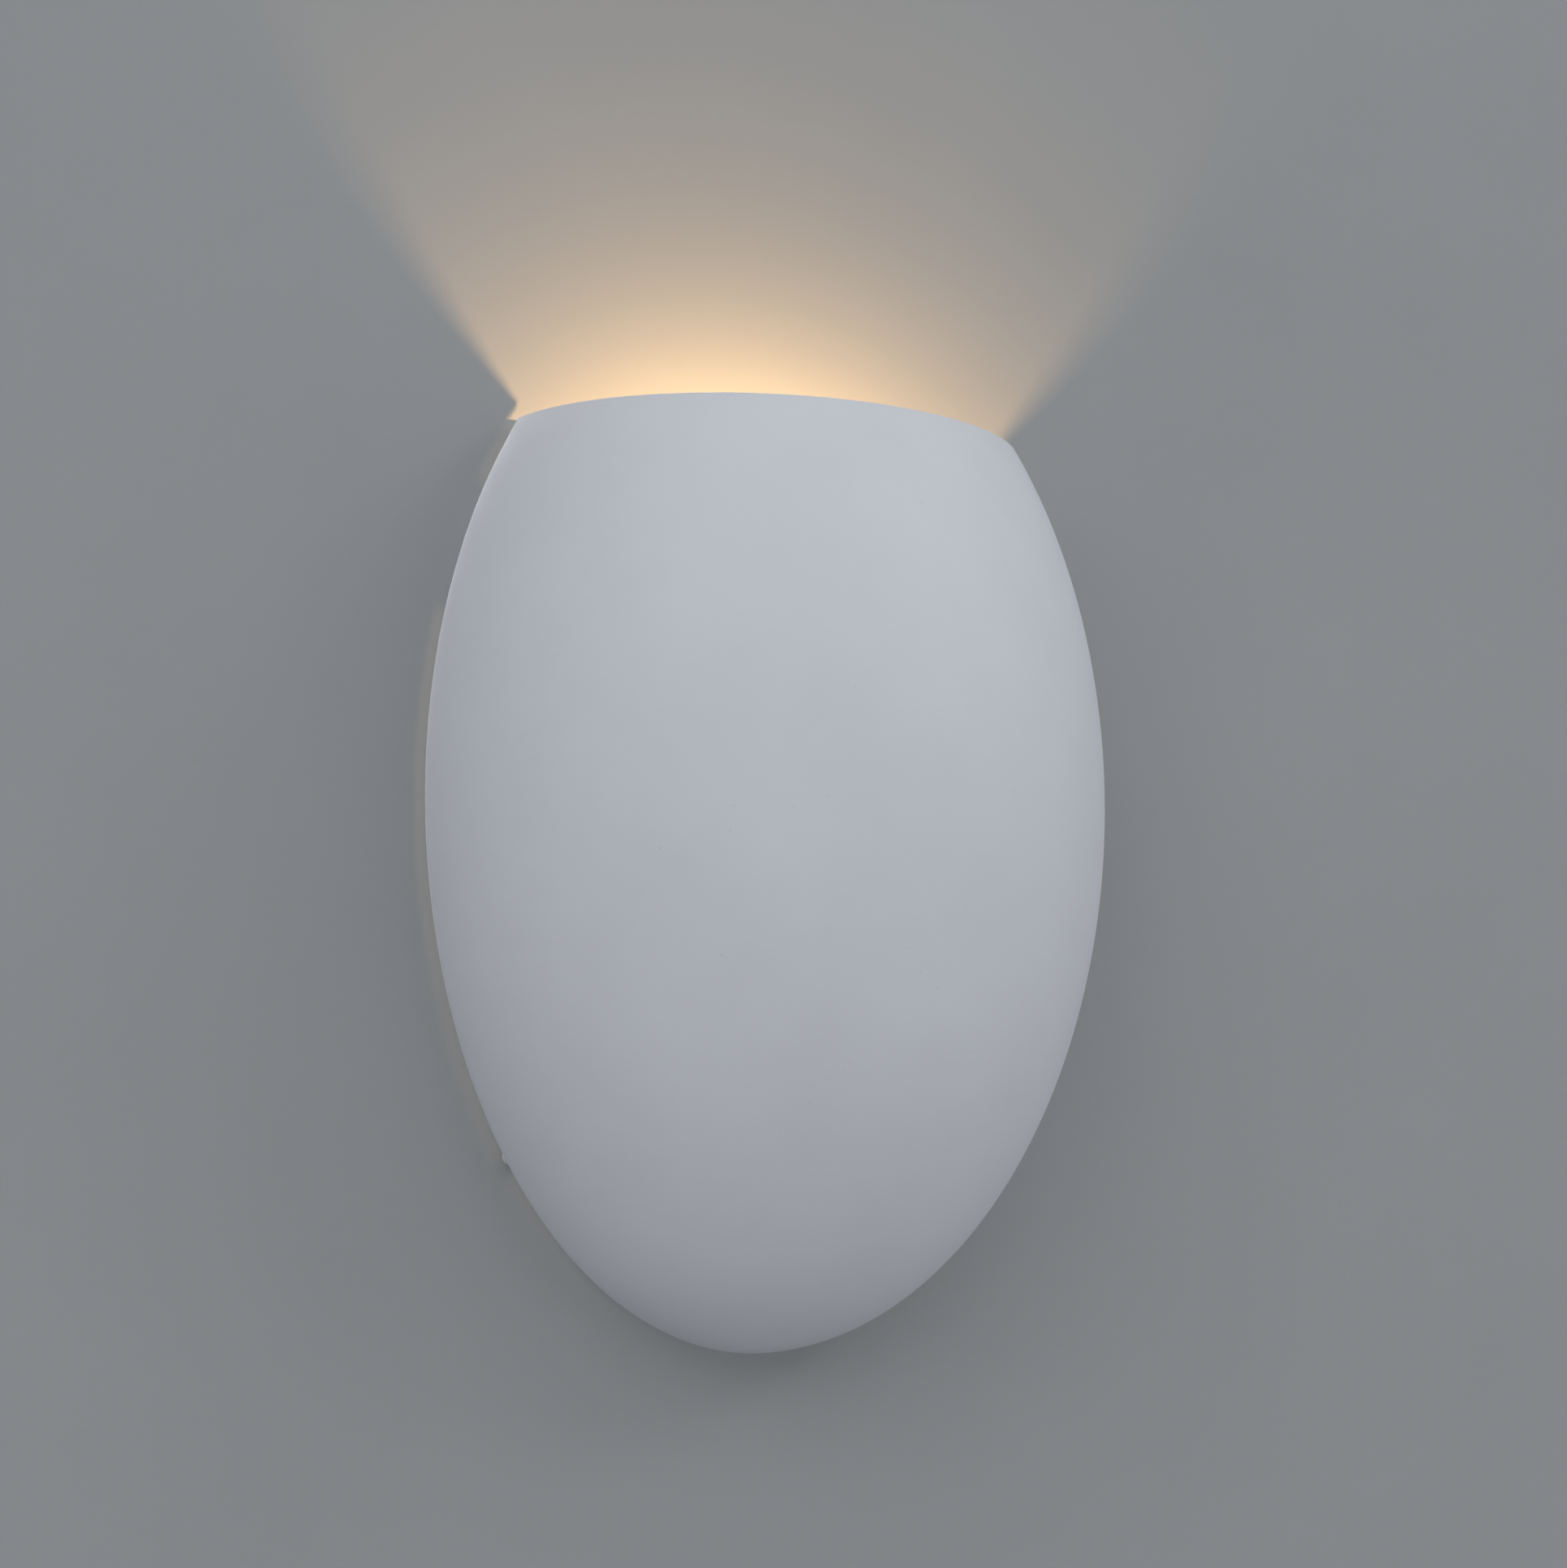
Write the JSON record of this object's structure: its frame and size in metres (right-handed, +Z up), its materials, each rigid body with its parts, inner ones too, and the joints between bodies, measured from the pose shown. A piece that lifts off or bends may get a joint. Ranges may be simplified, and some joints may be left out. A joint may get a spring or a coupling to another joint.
{
  "type": "wall light",
  "caption": "Half-egg ceramic uplighter shade, open at the top, hung by a strap on a hooked wall plate with lampholder, pull-out capsule lamp, terminals and earth stud.",
  "frame": {"origin": "midway between the two fixing slots of the wall plate, on the wall's face", "axes": "+Z up, +X to the right seen from the room, +Y into the wall"},
  "size_m": [0.2, 0.0925, 0.25],
  "materials": {
    "ceramic_white": "matte, unglazed, painted white",
    "steel_zinc": "zinc-plated pressed steel",
    "steel_screw": "bright zinc-plated",
    "brass": "turned, plain",
    "contact_metal": "nickel-plated spring strip",
    "rubber_white": "soft, matte",
    "rubber_grey": "soft, matte",
    "steatite": "unglazed steatite, off-white",
    "polyamide": "moulded, translucent white",
    "lamp_plastic": "moulded, white",
    "dome_frosted": "frosted diffuser",
    "aluminium_core": "bare extrusion",
    "chip_yellow": "phosphor",
    "aluminium_rivet": "plain",
    "lead_earth": "green with yellow, silicone",
    "lead_live": "brown, silicone",
    "lead_neutral": "blue, silicone"
  },
  "bodies": {
    "fixture": {"wall_plate": "steel_zinc", "cable_grommet": "rubber_grey", "lamp_bracket": "steel_zinc", "bracket_rivets": "aluminium_rivet", "holder_base": "steatite", "holder_body": "steatite", "holder_contacts": "contact_metal", "holder_screws": "steel_screw", "holder_nuts": "steel_screw", "terminal_block": "polyamide", "terminal_sleeves": "brass", "terminal_clamps": "steel_screw", "terminal_screws": "steel_screw", "terminal_nuts": "steel_screw", "earth_stud": "steel_screw", "earth_washer": "steel_screw", "earth_lug": "contact_metal", "earth_nut": "brass", "earth_lead": "lead_earth", "live_lead": "lead_live", "neutral_lead": "lead_neutral"},
    "shade": {"shade_shell": "ceramic_white", "hanger_strap": "steel_zinc", "strap_inserts": "brass", "strap_washers": "steel_screw", "strap_screws": "steel_screw", "back_bumpers": "rubber_white"},
    "lamp": {"lamp_base": "lamp_plastic", "lamp_dome": "dome_frosted", "lamp_core": "aluminium_core", "lamp_chips": "chip_yellow", "lamp_pins": "contact_metal"}
  },
  "joints": [
    {"name": "shade_lift", "type": "slide", "parent": "fixture", "child": "shade", "axis": [0, 0, 1], "range_m": [0, 0.012]},
    {"name": "lamp_pull", "type": "slide", "parent": "fixture", "child": "lamp", "axis": [0, 0, 1], "range_m": [0, 0.12]}
  ]
}
